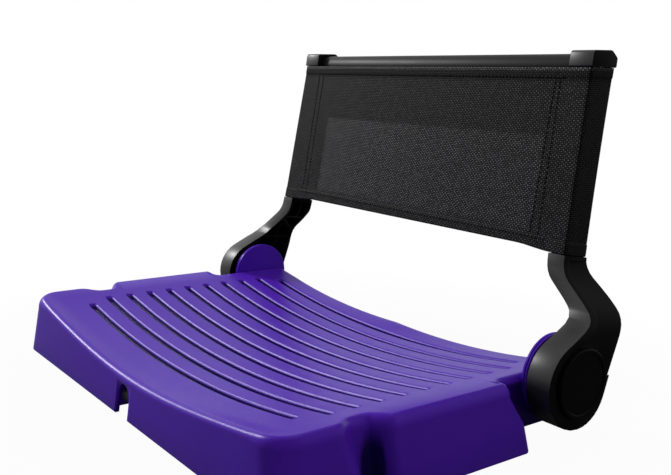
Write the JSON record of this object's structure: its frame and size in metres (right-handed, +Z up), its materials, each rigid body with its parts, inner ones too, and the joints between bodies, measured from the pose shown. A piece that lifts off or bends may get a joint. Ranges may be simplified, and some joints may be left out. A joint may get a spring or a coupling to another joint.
{
  "type": "stadium seat",
  "caption": "Folding bench seat with a dished, grooved shell, jogged side arms, a mesh sling backrest with a rear pocket, and a swing-out hook under the front edge.",
  "frame": {"origin": "middle of the footprint, on the bench the seat stands on", "axes": "+X towards the sitter's left, +Y from the front edge to the backrest, +Z up"},
  "size_m": [0.4626, 0.3259, 0.2853],
  "materials": {
    "purple_plastic": "moulded polypropylene, fine satin gloss",
    "black_plastic": "moulded, lightly grained",
    "black_mesh": "coated polyester yarn, woven open",
    "natural_nylon": "moulded, unpainted",
    "zinc_steel": "bright zinc",
    "black_steel": "black powder coat"
  },
  "bodies": {
    "seat": {"seat_shell": "purple_plastic", "hook_pin": "zinc_steel", "pivot_washer_left": "zinc_steel", "pivot_washer_right": "zinc_steel", "pivot_screw_left": "zinc_steel", "pivot_screw_right": "zinc_steel"},
    "backrest": {"arm_left": "black_plastic", "arm_right": "black_plastic", "top_cap_left": "black_plastic", "top_cap_right": "black_plastic", "pivot_cap_left": "black_plastic", "pivot_cap_right": "black_plastic", "pivot_bush_left": "natural_nylon", "pivot_bush_right": "natural_nylon", "crossbar_plug_left": "black_plastic", "crossbar_plug_right": "black_plastic", "crossbar_screw_left": "zinc_steel", "crossbar_screw_right": "zinc_steel", "crossbar": "black_steel", "sling": "black_mesh", "rear_pocket": "black_mesh"},
    "hook": {"bench_hook": "black_steel"}
  },
  "joints": [
    {"name": "backrest_fold", "type": "hinge", "parent": "seat", "child": "backrest", "pos_m": [0, 0.0888, 0.047], "axis": [1, 0, 0], "range_deg": [0, 98]},
    {"name": "hook_swing", "type": "hinge", "parent": "seat", "child": "hook", "pos_m": [0, -0.1513, 0.014], "axis": [-1, 0, 0], "range_deg": [0, 95]}
  ]
}
